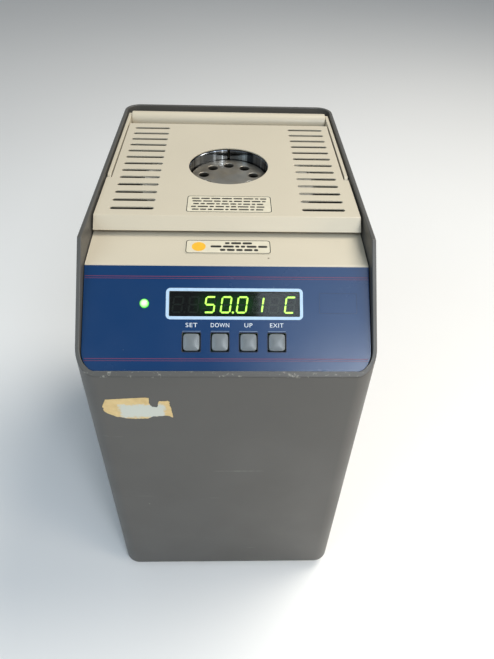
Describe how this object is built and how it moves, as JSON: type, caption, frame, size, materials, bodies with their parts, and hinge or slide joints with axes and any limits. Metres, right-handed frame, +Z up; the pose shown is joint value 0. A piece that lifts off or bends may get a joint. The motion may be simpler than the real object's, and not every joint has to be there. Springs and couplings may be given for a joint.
{
  "type": "dry block heater",
  "caption": "Bench-top dry block heater with a round heated well under a slotted cover, removable probe insert, sloped keypad panel and folding carrying handle.",
  "frame": {"origin": "centre of the footprint, on the surface the feet stand on", "axes": "+Z up, the front with the display faces -Y, +X is the viewer's right"},
  "size_m": [0.172, 0.26, 0.2985],
  "materials": {
    "grey_paint": "satin powder coat, worn at the cut rim",
    "cream_paint": "fine textured powder coat",
    "blue_film": "printed polyester film, satin",
    "dark_window": "dark tinted acrylic",
    "green_lens": "lit green lens",
    "key_grey": "satin moulded plastic",
    "switch_black": "satin moulded plastic",
    "black_plastic": "moulded plastic",
    "circuit_board": "solder mask",
    "stainless": "polished",
    "block_metal": "turned, lightly oxidised",
    "plated_steel": "zinc plated",
    "rear_paint": "satin powder coat",
    "fibre": "ceramic fibre wool",
    "rubber": "moulded rubber",
    "copper": "enamelled copper wire"
  },
  "bodies": {
    "housing": {"base_plate": "plated_steel", "block_can": "plated_steel", "block_insulation": "fibre", "cartridge_heater_1": "stainless", "cartridge_heater_2": "stainless", "cartridge_heater_3": "stainless", "cartridge_heater_4": "stainless", "chassis_shelf": "plated_steel", "chassis_side_left": "plated_steel", "chassis_side_right": "plated_steel", "control_sensor": "stainless", "controller_board": "circuit_board", "display_module": "black_plastic", "display_window": "dark_window", "fan_frame": "black_plastic", "fan_guard": "plated_steel", "foot_front_left": "rubber", "foot_front_right": "rubber", "foot_rear_left": "rubber", "foot_rear_right": "rubber", "front_panel": "cream_paint", "fuse_holder": "black_plastic", "handle_pivot_left": "plated_steel", "handle_pivot_right": "plated_steel", "heater_block": "block_metal", "indicator_lamp": "green_lens", "key_switch_1": "black_plastic", "key_switch_2": "black_plastic", "key_switch_3": "black_plastic", "key_switch_4": "black_plastic", "keypad_board": "circuit_board", "outer_shell": "grey_paint", "panel_overlay": "blue_film", "power_inlet": "black_plastic", "power_switch_frame": "switch_black", "rear_panel": "rear_paint", "safety_thermostat": "black_plastic", "serial_connector": "plated_steel", "solid_state_relay": "black_plastic", "top_cover": "cream_paint", "transformer_core": "plated_steel", "transformer_winding": "copper", "well_collar": "stainless"},
    "handle": {"handle_arm_left": "cream_paint", "handle_arm_right": "cream_paint", "handle_grip": "cream_paint"},
    "insert": {"well_insert": "block_metal"},
    "set_button": {"set_key": "key_grey"},
    "down_button": {"down_key": "key_grey"},
    "up_button": {"up_key": "key_grey"},
    "exit_button": {"exit_key": "key_grey"},
    "fan_wheel": {"fan_rotor": "black_plastic"},
    "rocker": {"power_switch_rocker": "switch_black"},
    "fuse_carrier": {"fuse_cap": "black_plastic"}
  },
  "joints": [
    {"name": "handle_swing", "type": "hinge", "parent": "housing", "child": "handle", "pos_m": [0, 0.0103, 0.29], "axis": [1, 0, 0], "range_deg": [0, 90]},
    {"name": "insert_lift", "type": "slide", "parent": "housing", "child": "insert", "axis": [0, 0, 1], "range_m": [0, 0.098]},
    {"name": "set_press", "type": "slide", "parent": "housing", "child": "set_button", "axis": [0, 0.6451, -0.7641], "range_m": [0, 0.0012], "stiffness_N_per_m": 300},
    {"name": "down_press", "type": "slide", "parent": "housing", "child": "down_button", "axis": [0, 0.6451, -0.7641], "range_m": [0, 0.0012], "stiffness_N_per_m": 300},
    {"name": "up_press", "type": "slide", "parent": "housing", "child": "up_button", "axis": [0, 0.6451, -0.7641], "range_m": [0, 0.0012], "stiffness_N_per_m": 300},
    {"name": "exit_press", "type": "slide", "parent": "housing", "child": "exit_button", "axis": [0, 0.6451, -0.7641], "range_m": [0, 0.0012], "stiffness_N_per_m": 300},
    {"name": "fan_spin", "type": "hinge", "parent": "housing", "child": "fan_wheel", "pos_m": [0, 0.1075, 0.15], "axis": [0, 1, 0], "continuous": true},
    {"name": "rocker_tilt", "type": "hinge", "parent": "housing", "child": "rocker", "pos_m": [0.035, 0.1232, 0.06], "axis": [1, 0, 0], "range_deg": [-24, 0]},
    {"name": "fuse_turn", "type": "hinge", "parent": "housing", "child": "fuse_carrier", "pos_m": [0.001, 0.115, 0.06], "axis": [0, 1, 0], "range_deg": [0, 90]}
  ]
}
